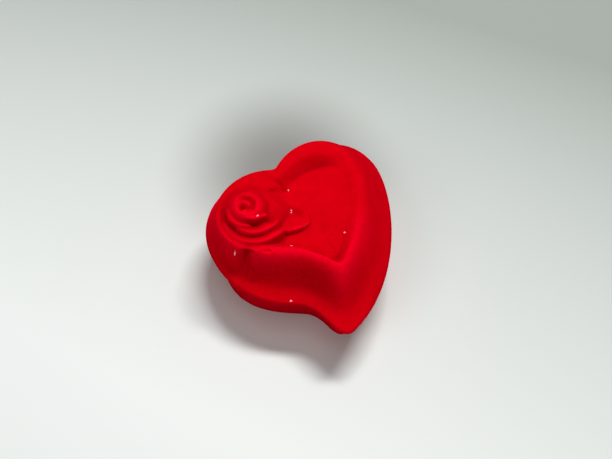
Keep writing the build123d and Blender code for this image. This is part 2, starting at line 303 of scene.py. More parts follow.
facing = rim_outward @ front_direction
sides = np.column_stack([
    np.clip(facing / full_facing, 0, 1) ** 2,
    np.clip(-facing / full_facing, 0, 1) ** 2,
    np.clip(right_gain * rim_outward @ right_direction, 0, 1) ** right_bend,
])
frontness, backness, rightness = soften(np.concatenate([sides, sides[:1]]), sides_softening).T
for share, side_rise, front_rise in flank_table:
    lid_outside.append((flank_ring(share), between(side_rise, front_rise, frontness)))
print("stations up to the crest:", len(lid_inside), "inside,", len(lid_outside), "outside")

# %% [markdown]
# Inside the crest the skin runs down into a well round the panel. The well is deepest at the back
# and fades out at the right, where the panel rises to meet the border. Behind the rose the skin
# stays up, so that the petals grow out of it. The panel itself falls away towards the tip.

# %% The crest and the panel
panel_middle = 9.4
panel_fall = 1.1
fall_reach = 14.0
panel_top = np.array((3.0, 8.0))
panel_slope = np.array((-0.35, -0.94))


def panel_height(ring):
    """The panel's height over the rim: level at first, then falling away down its slope."""
    down = np.maximum((ring - panel_top) @ panel_slope, 0) / fall_reach
    return panel_middle - panel_fall * down ** 3


crest_table = (
    # share of the way from the crest to the well,
    # then the heights at the front, at the back, at the right and behind the rose
    (0.2, 11.08, 11.1, 11.1, 11.0), (0.4, 10.75, 11.05, 10.97, 10.75), (0.58, 10.1, 10.8, 10.82, 10.4),
    (0.76, 9.4, 9.2, 10.66, 10.1), (0.92, 8.95, 8.1, 10.5, 9.85),
)
rose_side_x = -2.5
rose_side_run = 4
behind_rose = backness * smooth_step((rose_side_x - ridge[:, 0]) / rose_side_run)
for share, front_rise, back_rise, right_rise, rose_rise in crest_table:
    ring = between(ridge, well, share)
    sunk = share * (panel_height(ring) - panel_middle)
    rise = between(between(front_rise, back_rise, backness), right_rise, rightness)
    lid_outside.append((ring, between(rise, rose_rise, behind_rose) + sunk))
well_front_depth = 0.45
well_back_more = 1.15
well_rose_less = 0.8
well_inner_share = 0.6
panel_right_rise = 1.0
right_rise_bend = 1.5
well_depth = (well_front_depth + well_back_more * backness) * (1 - rightness)
well_depth *= 1 - well_rose_less * behind_rose
panel_shares = (1.0, 0.92, 0.83, 0.74, 0.65, 0.56, 0.47, 0.38, 0.29, 0.20, 0.10, 0.0)
lid_panel = []
for share in panel_shares:
    ring = drawn_in(well, share=share, centre=panel_centre)
    lift = panel_right_rise * rightness * share ** right_rise_bend
    dip = well_depth * (max(share - well_inner_share, 0) / (1 - well_inner_share)) ** 2
    lid_panel.append((ring, panel_height(ring) + lift - dip))
rows_per_span = 3
fine_rows_per_span = 5
inner_rows = flow(lid_inside, rows_per_span)
outer_rows = flow(lid_outside + lid_panel, fine_rows_per_span)
print("lid rows:", len(inner_rows), "inside,", len(outer_rows), "outside")

# %% [markdown]
# The rose is a height map over the panel: each petal is a piece of a ring wall with a rounded
# lip, steep outside and dipping gently inside, whose ends sink away under its neighbours. The
# petals climb towards the bud, and a smooth maximum joins them as if they were moulded in one.

# %% The rose's petals
rose_centre = np.array((-14.1, 11.26))
petal_table = (
    # foot radius, direction and half span in degrees, height over the rim, roundness of the lip, lean
    (8.67, 232, 82, 11.7, 0.45, 2.1),
    (6.7, 240, 74, 12.8, 0.45, 1.85),
    (5.55, 200, 66, 13.4, 0.45, -0.35),
    (3.95, 243, 66, 15.1, 0.45, 1.65),
)
wall_slope = 8.0
petal_dip = 0.3
petal_dip_run = 1.2
petal_end_drop = 1.2
petal_tuck = 0.3
petal_join = 0.35
petal_end_start = 0.6
petal_end_slope = 30
lean_limit = -0.6


def smooth_max(first, second, width):
    """The larger of two heights, with the corner between them rounded over a width."""
    share = smooth_step(0.5 + 0.5 * (second - first) / width)
    return first * (1 - share) + second * share


def petal_height(x, y, radius, direction, half_span, top, lip_half, lean):
    """One petal's height over the rim, from its row in the table."""
    dx, dy = x - rose_centre[0], y - rose_centre[1]
    turn = np.degrees(np.arctan2(dy, dx)) - direction
    turn = ((turn + 180) % 360 - 180) / half_span
    out = np.hypot(dx, dy) - radius - lean * np.maximum(turn, lean_limit)
    turn = np.abs(turn)
    out += petal_tuck * turn ** 2
    past_lip = np.clip((out + lip_half) / lip_half, 0, 1)
    fall_out = lip_half * (1 - np.sqrt(1 - past_lip ** 2)) + wall_slope * np.maximum(out, 0)
    fall_in = petal_dip * smooth_step(-(out + lip_half) / petal_dip_run)
    fall_end = petal_end_drop * smooth_step((turn - petal_end_start) / (1 - petal_end_start))
    fall_end = fall_end + petal_end_slope * np.maximum(turn - 1, 0)
    return top - fall_out - fall_in - fall_end


# %% The whole rose
dome_top = 14.6
dome_fall = 0.07
dome_front_drop = 0.8
dome_front_run = 4
dome_leaf_share = 0.3
leaf_side = np.array((0.87, -0.5))
notch = np.array((-19.9, 13.2))
notch_depth = 0.9
notch_reach = (1.0, 1.0)


def soft_spot(dx, dy, reach):
    """One in the middle of a spot, and fading to nothing beyond its reach."""
    return np.exp(-(dx / reach[0]) ** 2 - (dy / reach[1]) ** 2)


def rose_height(x, y):
    """The rose's height over the rim: a dome for the petals to stand on, the petals and a notch."""
    dx, dy = x - rose_centre[0], y - rose_centre[1]
    to_leaf = np.maximum(dx * leaf_side[0] + dy * leaf_side[1], 0)
    to_front = (dx * front_direction[0] + dy * front_direction[1]) / dome_front_run
    fall = dome_fall * (np.hypot(dx, dy) ** 2 - dome_leaf_share * to_leaf ** 2)
    height = dome_top - fall - dome_front_drop * smooth_step(0.5 + 0.5 * to_front)
    for petal in petal_table:
        height = smooth_max(height, petal_height(x, y, *petal), petal_join)
    return height - notch_depth * soft_spot(x - notch[0], y - notch[1], notch_reach)


print("rose of", len(petal_table), "petals on a dome", dome_top, "mm over the rim")

# %% [markdown]
# The bud is a low dome with a curled groove, the mouth of the rolled petal. The groove follows
# a short spiral and is deepest at its inner end.

# %% The bud
bud_centre = np.array((-14.0, 11.6))
bud_radius = 3.0
bud_top = 15.7
bud_roundness = 0.4
bud_edge_fall = 0.5
curl_path = np.array((
    (-15.7, 11.15), (-15.18, 10.01), (-14.28, 9.63), (-13.29, 9.92), (-12.75, 10.96), (-12.91, 12.24),
    (-13.76, 13.3), (-14.86, 13.87)))
curl_points = 60
curl_marks = (0, 1.2, 2.5, 7)
curl_steps = np.linspace(0, len(curl_path) - 1, curl_points)
curl = np.column_stack([np.interp(curl_steps, range(len(curl_path)), side) for side in curl_path.T])
curl_depth = np.interp(curl_steps, curl_marks, (1.9, 1.5, 1.25, 0.9))
curl_half = np.interp(curl_steps, curl_marks, (0.8, 0.62, 0.55, 0.5))


def bud_height(x, y):
    """The bud's height over the rim, with the groove taken out of its dome."""
    away = np.hypot(x - bud_centre[0], y - bud_centre[1])
    past = np.maximum(away - bud_radius, 0)
    dome = bud_top - bud_roundness * (away / bud_radius) ** 2 - bud_edge_fall * past ** 2
    near = np.hypot(x[:, None] - curl[:, 0], y[:, None] - curl[:, 1])
    groove = (curl_depth * np.exp(-(near / curl_half) ** 2)).max(axis=1)
    return dome - groove


print("bud groove from", curl_depth.min(), "to", curl_depth.max(), "mm deep")

# %% [markdown]
# Two leaves grow from under the rose. One lies on the panel, folded along its rib like an open
# book. The other hangs over the crest on to the flank. A leaf has its own axes, along and
# across, so one function serves for both.

# %% A leaf's axes and width
leaf_fullness = 2.2
leaf_taper = 0.65


def leaf_axes(x, y, base, tip):
    """How far along a leaf, as a share of its length, and how far across it in mm."""
    length = np.linalg.norm(tip - base)
    along = (tip - base) / length
    dx, dy = x - base[0], y - base[1]
    return (dx * along[0] + dy * along[1]) / length, dy * along[0] - dx * along[1]


def leaf_half_width(along, half):
    """Half the width of a leaf at a share of its length, narrowing to its tip."""
    inside = np.clip(along, 0, 1)
    return half * np.clip(1 - inside ** leaf_fullness, 0, 1) ** leaf_taper


# %% The leaf on the panel
panel_leaf_base = np.array((-8.0, 8.6))
panel_leaf_tip = np.array((-1.2, 1.9))
panel_leaf_half = 5.5
panel_leaf_low = 9.75
panel_leaf_fold = 0.85
fold_bend = 1.2
thinnest_half = 0.2
vein_depth = 0.06
vein_count = 4
vein_slant = 0.3
edge_margin = 0.35
edge_slope = 5
upper_share = 1.2
upper_margin = 2
upper_fall = 0.35
end_weight = 3


def panel_leaf_height(x, y):
    """The leaf's height over the rim: its lower half folds up, its upper half sinks into the panel."""
    along, across = leaf_axes(x, y, panel_leaf_base, panel_leaf_tip)
    half = leaf_half_width(along, panel_leaf_half)
    down = np.clip(-across / np.maximum(half, thinnest_half), 0, 1)
    blade = panel_leaf_low + panel_leaf_fold * down ** fold_bend
    ripple = np.cos(math.tau * vein_count * (along - vein_slant * down))
    veins = vein_depth * ripple * np.clip(4 * down * (1 - down), 0, 1)
    under = np.maximum(-across - half + edge_margin, 0)
    past = np.maximum(across - half * upper_share + upper_margin, 0)
    past = past + end_weight * np.maximum(-along, 0) + end_weight * np.maximum(along - 1, 0)
    return blade + veins - edge_slope * under - upper_fall * past ** 2


# %% Dents beside the leaf
leaf_dent = np.array((-2.9, 6.2))
leaf_dent_way = np.array((0.52, -0.85))
leaf_dent_reach = (2.4, 1.0)
leaf_dent_depth = 0.9
pocket = np.array((-2.6, 14.4))
pocket_reach = (1.5, 1.1)
pocket_depth = 0.7


def panel_dents(x, y):
    """A long dent in the leaf's upper half, and a small pocket between the rose and the cleft."""
    dx, dy = x - leaf_dent[0], y - leaf_dent[1]
    along = dx * leaf_dent_way[0] + dy * leaf_dent_way[1]
    across = dy * leaf_dent_way[0] - dx * leaf_dent_way[1]
    dent = leaf_dent_depth * soft_spot(along, across, leaf_dent_reach)
    return dent + pocket_depth * soft_spot(x - pocket[0], y - pocket[1], pocket_reach)


# %% The leaf on the flank
flank_leaf_base = np.array((-19.3, 2.6))
flank_leaf_tip = np.array((-21.4, -3.2))
flank_leaf_half = 2.3
flank_leaf_edge = 1.2
flank_leaf_start = 0.1
crease_count = 2.5
crease_slant = 0.16
crease_depth = 0.22
flank_hollow = np.array((-19.8, 1.7))
flank_hollow_reach = (1.9, 1.5)
flank_hollow_depth = 1.05
crest_slot = np.array(((-16.3, 0.25), (-14.2, -1.0)))
slot_half = 0.45
slot_end = 0.2
slot_depth = 0.5


def flank_leaf_relief(x, y):
    """How far the leaf is pressed in: a hollow under the crest, two creases and a short slot."""
    along, across = leaf_axes(x, y, flank_leaf_base, flank_leaf_tip)
    half = leaf_half_width(along, flank_leaf_half)
    inside = smooth_step((half - np.abs(across)) / flank_leaf_edge) * smooth_step(along / flank_leaf_start)
    creases = 0.5 + 0.5 * np.cos(math.tau * crease_count * (along - crease_slant * np.abs(across)))
    hollow = soft_spot(x - flank_hollow[0], y - flank_hollow[1], flank_hollow_reach)
    slot_along, slot_across = leaf_axes(x, y, *crest_slot)
    slot = np.exp(-(slot_across / slot_half) ** 2) * smooth_step(slot_along / slot_end)
    slot = slot * smooth_step((1 - slot_along) / slot_end)
    return -crease_depth * inside * creases ** 2 - flank_hollow_depth * hollow - slot_depth * slot


print("leaves", panel_leaf_half, "and", flank_leaf_half, "mm to each side of their ribs")

# %% [markdown]
# Now the outside rows take up the relief. Rose, bud and panel leaf are heights, so they win
# wherever they stand above the panel or the crest. The leaf on the flank moves along the
# skin's own outward direction, read from its neighbours.

# %% Press the rose and the leaf into the lid
relief_stations = 9
rose_reach = 12
far_below = -50.0
bud_join = 0.2
leaf_join = 0.4
flower_join = 0.35
join_behind = 1.5
behind_start = 0.35
behind_run = 5
crest_row = fine_rows_per_span * (len(lid_outside) - relief_stations)
x, y, z = (outer_rows[crest_row:, :, i].ravel() for i in range(3))
near_rose = np.hypot(x - rose_centre[0], y - rose_centre[1]) < rose_reach
rose_x, rose_y = x[near_rose], y[near_rose]
flower = np.full(len(x), far_below)
flower[near_rose] = smooth_max(rose_height(rose_x, rose_y), bud_height(rose_x, rose_y), bud_join)
leafy = smooth_max(z, panel_leaf_height(x, y), leaf_join) - panel_dents(x, y)
behind = (rose_centre - np.column_stack([x, y])) @ front_direction / behind_run
raised = smooth_max(leafy, flower, flower_join + join_behind * smooth_step(behind_start + behind))
outer_rows[crest_row:, :, 2] = raised.reshape(outer_rows[crest_row:, :, 2].shape)
print("lid relief from", round(raised.min(), 2), "to", round(raised.max(), 2), "mm over the rim")

# %% Press the other leaf into the flank
lip_stations = 4
shortest = 1e-9
along_rows = np.gradient(outer_rows, axis=0)
along_ring = np.gradient(outer_rows, axis=1)
outward = np.cross(along_ring, along_rows)
outward /= np.maximum(np.linalg.norm(outward, axis=2, keepdims=True), shortest)
outward *= np.sign(outward[len(outward) // 2, 0, 2])
relief = flank_leaf_relief(outer_rows[..., 0].ravel(), outer_rows[..., 1].ravel())
relief = relief.reshape(outer_rows.shape[:2])
relief[: lip_stations * fine_rows_per_span] = 0
outer_rows += outward * relief[..., None]
print("flank pressed in by up to", round(-relief.min(), 2), "mm")

# %% [markdown]
# At the cleft the hinge leaf passes under the lid's rim, so the rim is cut back there. A solid
# block behind the cleft holds the leaf's tongue. It is a cube, stretched and bevelled.

# %% Lid object
leaf_half_mm = 5.75
leaf_slot = 0.75
cleft_front = 14.0
block_half = 6.8
block_front = 15.7
block_back = 20.6
block_height = 5.6
block_bevel = 0.35


def by_the_hinge(rows):
    """Which points of a skin lie where the hinge leaves pass."""
    return (np.abs(rows[..., 0] - hinge[0]) < leaf_half_mm) & (rows[..., 1] > cleft_front)


def add_block(bm, low_z, high_z):
    """Add the block behind the cleft, between two heights."""
    low = np.array((hinge[0] - block_half, block_front, low_z)) * mm
    high = np.array((hinge[0] + block_half, block_back, high_z)) * mm
    made = bmesh.ops.create_cube(bm, size=1)["verts"]
    bmesh.ops.scale(bm, vec=Vector(high - low), verts=made)
    bmesh.ops.translate(bm, vec=Vector((high + low) / 2), verts=made)
    edges = list({edge for vert in made for edge in vert.link_edges})
    bmesh.ops.bevel(
        bm, geom=edges, offset=block_bevel * mm, affect="EDGES", segments=3, profile=0.5, material=-1)


lid_rows = np.concatenate([inner_rows, outer_rows[1:]])
lid_rows[..., 2] += rim_z
lid_z = lid_rows[..., 2]
lid_rows[..., 2] = np.where(by_the_hinge(lid_rows), np.maximum(lid_z, hinge[2] + leaf_slot), lid_z)
bm = skin(lid_rows)
add_block(bm, hinge[2] + leaf_slot, hinge[2] + block_height)
lid = piece("lid_moulding", bm, "lid", "red_flock", "lid_shell")

# %% [markdown]
# The base is a plain cup under the lid, narrower than it, so that the lid's lip stands out all
# round. It tapers to a small rounded foot. Its wall, rim and floor come from one flow too.

# %% The base
base_draft = 1.5
lid_overhang = 0.9
floor_rise = 1.6


def base_ring(z, inset=0.0):
    """The outline of the base's wall at a height, drawn in by a further inset."""
    fallen = (base_top_z - z) / base_top_z
    return drawn_in(between(base_rim, base_foot, fallen), lid_overhang + base_draft * fallen + inset)


base_stations = [
    (drawn_in(base_rim, share=0.0), floor_rise),
    (drawn_in(base_rim, share=0.5), floor_rise),
    (base_ring(floor_rise, shell_wall), floor_rise),
    (base_ring(floor_rise, shell_wall), floor_rise + 0.5),
    (base_ring(8, shell_wall), 8),
    (base_ring(base_top_z, shell_wall), base_top_z - 0.5),
    (base_ring(base_top_z, shell_wall - 0.1), base_top_z),
    (base_ring(base_top_z, shell_wall / 2), base_top_z),
    (base_ring(base_top_z, 0.4), base_top_z),
    (base_ring(base_top_z), base_top_z - 0.1),
    (base_ring(base_top_z - 0.8), base_top_z - 0.8),
    (base_ring(11), 11),
    (base_ring(6), 6),
    (base_ring(2), 2),
    (base_ring(0.7), 0.7),
    (base_ring(0, 0.2), 0.1),
    (base_ring(0, 0.9), 0),
    (base_ring(0, 2), 0),
    (drawn_in(base_rim, share=0.5), 0),
    (drawn_in(base_rim, share=0.0), 0),
]
base_rows = flow(base_stations, rows_per_span)
base_z = base_rows[..., 2]
base_rows[..., 2] = np.where(by_the_hinge(base_rows), np.minimum(base_z, hinge[2] - leaf_slot), base_z)
bm = skin(base_rows)
add_block(bm, hinge[2] - block_height, hinge[2] - leaf_slot)
base = piece("base_moulding", bm, "base", "red_flock", "base_shell")

# %% [markdown]
# Inside the base lies the ring cushion: foam on a card, covered in ivory velvet, with a slit that
# grips the ring. It is a skin again. Its outline follows the base's wall, with small tucks where
# the velvet is folded under, and closes row by row on the slit, whose ring has as many points.

# %% The ring cushion
slit_centre = half_sizes * (0.0, 0.12)
slit_half_length = 12.0
slit_half_width = 0.6
slit_squareness = 12
columns = np.arange(len(rim))
right_end = int(np.argmax(rim[:, 0]))
left_end = int(np.argmin(rim[:, 0]))
in_front = (columns >= right_end) & (columns <= left_end)


def slit_ring(grow):
    """The slit's outline, grown by a length all round."""
    front_share = (columns - right_end) / (left_end - right_end)
    back_share = ((columns - left_end) % steps_round) / (steps_round - left_end + right_end)
    along = np.where(in_front, 1 - 2 * front_share, 2 * back_share - 1)
    across = np.where(in_front, -1, 1) * np.sqrt(np.clip(1 - along ** slit_squareness, 0, 1))
    half_sides = np.array((slit_half_length, slit_half_width)) + grow
    return slit_centre + half_sides * np.column_stack([along, across])


def ripples(depth, count):
    """A small wave that runs round an outline a number of times."""
    return depth * np.cos(columns * math.tau * count / steps_round)[:, None]


cushion_gap = shell_wall + 0.35
tucks = ripples(depth=0.07, count=46)
shoulder = base_ring(9.0, cushion_gap + 2.2)
slit_mouth = slit_ring(0.5)
cushion_stations = [
    (drawn_in(base_ring(2.5, cushion_gap), share=0.0), 2.45),
    (drawn_in(base_ring(2.5, cushion_gap), share=0.6), 2.45),
    (base_ring(2.5, cushion_gap + 0.8 + 2 * tucks), 2.45),
    (base_ring(3.1, cushion_gap + 0.2 + 2 * tucks), 3.0),
    (base_ring(5.0, cushion_gap + 0.05 + tucks), 5.0),
    (base_ring(7.0, cushion_gap + 0.05), 7.2),
    (base_ring(8.4, cushion_gap + 0.5), 8.6),
    (base_ring(9.0, cushion_gap + 1.2), 9.3),
    (shoulder, 9.65),
    (between(shoulder, slit_mouth, 0.25), 9.9),
    (between(shoulder, slit_mouth, 0.5), 9.98),
    (between(shoulder, slit_mouth, 0.75), 9.98),
    (between(shoulder, slit_mouth, 0.92), 9.85),
    (slit_mouth, 9.5),
    (slit_ring(0.1), 9.0),
    (slit_ring(0.0), 8.0),
    (slit_ring(0.0), 6.0),
    (slit_ring(0.0), 3.8),
    (slit_ring(-0.2), 3.65),
]
bm = skin(flow(cushion_stations, rows_per_span))
cushion = piece("ring_cushion", bm, "base", "velvet", "ring_cover", "ring_foam")

# %% [markdown]
# The roof of the lid has a thin pad covered in satin. The satin is drawn over the pad's edge and
# glued behind it, so it gathers there. In front of the hinge block the pad is cut straight.

# %% The lid's pad
gathers = ripples(depth=0.13, count=62)
pad_edge = shell_wall + 0.55
pad_side_gap = 0.5
pad_back_gap = 0.3
pad_stations = [
    (drawn_in(ceiling, share=0.0), 6.18),
    (drawn_in(ceiling, share=0.6), 6.18),
    (drawn_in(ceiling, pad_edge + 0.4), 6.18),
    (drawn_in(ceiling, pad_edge + gathers), 5.95),
    (drawn_in(ceiling, pad_edge + gathers), 5.6),
    (drawn_in(ceiling, pad_edge + 0.6 + 2 * gathers), 5.2),
    (drawn_in(ceiling, pad_edge + 1.8 + gathers), 4.95),
    (drawn_in(ceiling, share=0.7), 4.83),
    (drawn_in(ceiling, share=0.35), 4.77),
    (drawn_in(ceiling, share=0.0), 4.76),
]
pad_rows = flow(pad_stations, rows_per_span)
pad_rows[..., 2] += rim_z
pad_y = pad_rows[..., 1]
at_block = np.abs(pad_rows[..., 0] - hinge[0]) < block_half + pad_side_gap
pad_rows[..., 1] = np.where(at_block, np.minimum(pad_y, block_front - pad_back_gap), pad_y)
pad = piece("lid_pad", skin(pad_rows), "lid", "satin", "lining_cover", "lining_foam")

# %% [markdown]
# A coil of wire on the hinge pin keeps the lid shut. A small circle is extruded into the first
# leg, spun two and a half turns round the pin while it moves along it, and extruded into the other
# leg. One leg lies in the base and the other in the lid.

# %% The spring
wire_radius = 0.2
wire_sides = 10
coil_radius = 0.95
coil_turns = 2.5
coil_pitch = 1.08
spring_leg = 4.0
coil_steps = 70
spring_start = Vector(hinge) + Vector((-coil_turns * coil_pitch / 2, 0, 0))
bm = bmesh.new()
bmesh.ops.create_circle(bm, segments=wire_sides, radius=wire_radius * mm)
bmesh.ops.rotate(bm, verts=bm.verts, cent=(0, 0, 0), matrix=Matrix.Rotation(math.pi / 2, 3, "X"))
bmesh.ops.translate(bm, verts=bm.verts, vec=(spring_start + Vector((0, -spring_leg, -coil_radius))) * mm)


def pull_out(ring, way):
    """Extrude a ring of edges along a way in mm, and give back the new ring."""
    made = bmesh.ops.extrude_edge_only(bm, edges=ring)["geom"]
    verts = [item for item in made if isinstance(item, bmesh.types.BMVert)]
    bmesh.ops.translate(bm, verts=verts, vec=Vector(way) * mm)
    edges = [item for item in made if isinstance(item, bmesh.types.BMEdge)]
    return [edge for edge in edges if all(vert in verts for vert in edge.verts)]


ring = pull_out(bm.edges[:], (0, spring_leg, 0))
turned = bmesh.ops.spin(
    bm, geom=ring, cent=Vector(hinge) * mm, axis=(1, 0, 0), angle=math.tau * coil_turns, steps=coil_steps,
    dvec=(coil_turns * coil_pitch / coil_steps * mm, 0, 0))["geom_last"]
pull_out([item for item in turned if isinstance(item, bmesh.types.BMEdge)], (0, -spring_leg, 0))
bmesh.ops.holes_fill(bm, edges=[edge for edge in bm.edges if edge.is_boundary], sides=0)
bmesh.ops.recalc_face_normals(bm, faces=bm.faces)
spring = piece("wire_spring", bm, None, "hinge_steel", "hinge_spring")
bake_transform(spring)

# %% [markdown]
# Colour follows the form: the flock is made brighter where it stands out, partly wear and partly a
# painted highlight, and darker in the hollows, a painted shade. How far a vertex stands out from a
# smoothed copy of the mesh tells where that is. A light smoothing finds the small hollows, and a
# longer one finds the broad forms that fingers wear.
# Each is measured once and kept as an attribute, which the material reads.

# %% Measure where the flock stands out
def smoothed(points, edges, rounds):
    """Points after being averaged with their neighbours along the edges, over and over."""
    count = np.bincount(edges.ravel(), minlength=len(points))[:, None]
    for _ in range(rounds):
        total = np.zeros_like(points)
        for axis in range(3):
            total[:, axis] = np.bincount(edges[:, 0], points[edges[:, 1], axis], len(points))
            total[:, axis] += np.bincount(edges[:, 1], points[edges[:, 0], axis], len(points))
        points = 0.5 * points + 0.5 * total / count
    return points


bright_from = 3
bright_run = 5
least_bright = 0.2
rear_start = 1
rear_run = 8
rear_less = 0.9


def wear_and_highlight(points):
    """How much each point is brightened, by wear and by a painted highlight: most high up at the front,
    least at the back and the rim.
    """
    high = smooth_step((points[:, 2] / mm - rim_z - bright_from) / bright_run)
    # Wear and painted highlight fade out towards the back.
    rear = smooth_step((-points[:, :2] @ front_direction / mm + rear_start) / rear_run)
    return (least_bright + (1 - least_bright) * high) * (1 - rear_less * rear)


def mark_form(obj, label, rounds, strongest, middle, bright_share=None):
    """Store how far each vertex stands proud of its surroundings, from 0 in hollows to 1."""
    mesh = obj.data
    points = np.empty(3 * len(mesh.vertices))
    mesh.vertices.foreach_get("co", points)
    points = points.reshape(-1, 3)
    normals = np.empty(3 * len(mesh.vertices))
    mesh.vertices.foreach_get("normal", normals)
    edges = np.empty(2 * len(mesh.edges), dtype=np.int64)
    mesh.edges.foreach_get("vertices", edges)
    edges = edges.reshape(-1, 2)
    proud = ((points - smoothed(points, edges, rounds)) * normals.reshape(-1, 3)).sum(axis=1)
    if bright_share:
        proud = np.where(proud > 0, proud * bright_share(points), proud)
    share = np.clip(middle + 0.5 * proud / strongest, 0, 1)
    form = mesh.attributes.new(label, "FLOAT", "POINT")
    form.data.foreach_set("value", share.astype(np.float32))
    print(obj.name, label, "stands proud by", np.round(np.percentile(proud / mm, (1, 50, 99)), 3), "mm")


fine_rounds = 100
fine_strongest = 0.5 * mm
broad_strongest = 0.8 * mm
wear_and_shade_table = (
    # piece, share where the skin is level, rounds that find its broad forms, how its wear and painted
    # highlight are spread
    (lid, 0.5, 400, wear_and_highlight),
    # The base's low level share makes its whole skin count as hollow, so it is painted darker, a painted
    # shade under the lid's overhang.
    (base, 0.2, 100, None),
    (cushion, 0.5, 100, None),
)
for obj, middle, broad_rounds, bright_share in wear_and_shade_table:
    mark_form(obj, "fine_form", fine_rounds, fine_strongest, middle)
    mark_form(obj, "broad_form", broad_rounds, broad_strongest, middle, bright_share)

# %% [markdown]
# Flock is a coat of tiny fibres stood on end. Two effects are used by several materials here,
# so each is a node group: the nap, which is mottled at the size of the fibres and in brushed
# patches, and the wear with its painted light, which gives a share for wear and painted highlight
# where the skin stands out, broken up by a noise, and a share for painted shade in the hollows.

# %% Node helpers
def new_effect(name, inputs, outputs):
    """A shader node group with named number inputs, and outputs that are all numbers."""
    group = bpy.data.node_groups.new(name, "ShaderNodeTree")
    for label, value in inputs.items():
        socket = group.interface.new_socket(label, in_out="INPUT", socket_type="NodeSocketFloat")
        socket.default_value = value
    for label in outputs:
        group.interface.new_socket(label, in_out="OUTPUT", socket_type="NodeSocketFloat")
    return group, group.nodes.new("NodeGroupInput"), group.nodes.new("NodeGroupOutput")


def node(tree, kind, links=(), **values):
    """A node of a kind, with its properties set, and its inputs linked or given a value."""
    made = tree.nodes.new(kind)
    for label, value in values.items():
        setattr(made, label, value)
    for label, value in dict(links).items():
        if isinstance(value, bpy.types.NodeSocket):
            tree.links.new(value, made.inputs[label])
        else:
            made.inputs[label].default_value = value
    return made


def set_sockets(made, **values):
    """Give a node's inputs their values."""
    for label, value in values.items():
        made.inputs[label.replace("_", " ")].default_value = value


def maths(tree, operation, first, second):
    """The result of an operation on two numbers."""
    return node(tree, "ShaderNodeMath", {0: first, 1: second}, operation=operation).outputs[0]


def vector_maths(tree, operation, first, second, output):
    """A named output of an operation on two vectors."""
    made = node(tree, "ShaderNodeVectorMath", {0: first, 1: second}, operation=operation)
    return made.outputs[output]


def ranged(tree, value, from_low, from_high, to_low=0.0, to_high=1.0, **values):
    """A number taken from one range into another."""
    made = node(tree, "ShaderNodeMapRange", {"Value": value}, **values)
    set_sockets(made, From_Min=from_low, From_Max=from_high, To_Min=to_low, To_Max=to_high)
    return made.outputs[0]


def grain(tree, size, detail):
    """Noise on Object coordinates whose features have about the given size in metres."""
    place = node(tree, "ShaderNodeTexCoord").outputs["Object"]
    per_metre = maths(tree, "DIVIDE", 1.0, size)
    return node(
        tree, "ShaderNodeTexNoise", {"Vector": place, "Scale": per_metre, "Detail": detail}).outputs["Fac"]


# %% The nap, and the wear with painted highlight and shade
nap_effect, enter, leave = new_effect("nap", {"Fibre size": 0.0002, "Patch size": 0.004}, ("Nap", "Height"))
fibres = grain(nap_effect, enter.outputs["Fibre size"], detail=2.0)
patches = grain(nap_effect, enter.outputs["Patch size"], detail=3.0)
mottle = ranged(nap_effect, maths(nap_effect, "ADD", fibres, patches), from_low=0.7, from_high=1.3)
nap_effect.links.new(mottle, leave.inputs["Nap"])
nap_effect.links.new(fibres, leave.inputs["Height"])

wear_and_painted_light_effect, enter, leave = new_effect("wear_and_painted_light", {"Break size": 0.001}, ("Worn_and_lit", "Hollow_shade"))
broad = node(wear_and_painted_light_effect, "ShaderNodeAttribute", attribute_name="broad_form").outputs["Fac"]
fine = node(wear_and_painted_light_effect, "ShaderNodeAttribute", attribute_name="fine_form").outputs["Fac"]
level = 0.5
proud = ranged(wear_and_painted_light_effect, broad, level, 1.0)
# Painted shade: a share that darkens the colour in the hollows.
hollow = ranged(wear_and_painted_light_effect, fine, level, 0.0)
broken = grain(wear_and_painted_light_effect, enter.outputs["Break size"], detail=4.0)
patchy = ranged(wear_and_painted_light_effect, broken, from_low=0.35, from_high=0.65, to_low=0.6, to_high=1.0)
# Partly wear and partly a painted highlight: a share that brightens the colour where the skin stands out.
worn_and_lit = maths(wear_and_painted_light_effect, "MULTIPLY", proud, patchy)
wear_and_painted_light_effect.links.new(worn_and_lit, leave.inputs["Worn_and_lit"])
wear_and_painted_light_effect.links.new(hollow, leave.inputs["Hollow_shade"])
print("effects:", nap_effect.name, wear_and_painted_light_effect.name)

# %% [markdown]
# The red flock has almost no gloss, a little red sheen where it is seen edge on, and a fine bump.
# Its nap mixes two reds. The wear effect then puts a brighter red where the skin stands out,
# partly wear and partly a painted highlight, and a darker red in the hollows, a painted shade.

# %% Red flock
def new_material(name):
    """A material with its node tree and its shader."""
    material = bpy.data.materials.new(name)
    material.use_nodes = True
    return material, material.node_tree, material.node_tree.nodes["Principled BSDF"]


def place_effect(tree, effect, **values):
    """An effect's group node in a material, with its own values."""
    made = node(tree, "ShaderNodeGroup", node_tree=effect)
    set_sockets(made, **values)
    return made


# The mix node has sockets for every kind of value, and these are the ones for colours.
mix_share = 0
mix_first = 6
mix_second = 7
mix_result = 2


def blend_colours(tree, share, first, second):
    """A mix of two colours by a share."""
    sockets = {mix_share: share, mix_first: first, mix_second: second}
    return node(tree, "ShaderNodeMix", sockets, data_type="RGBA").outputs[mix_result]


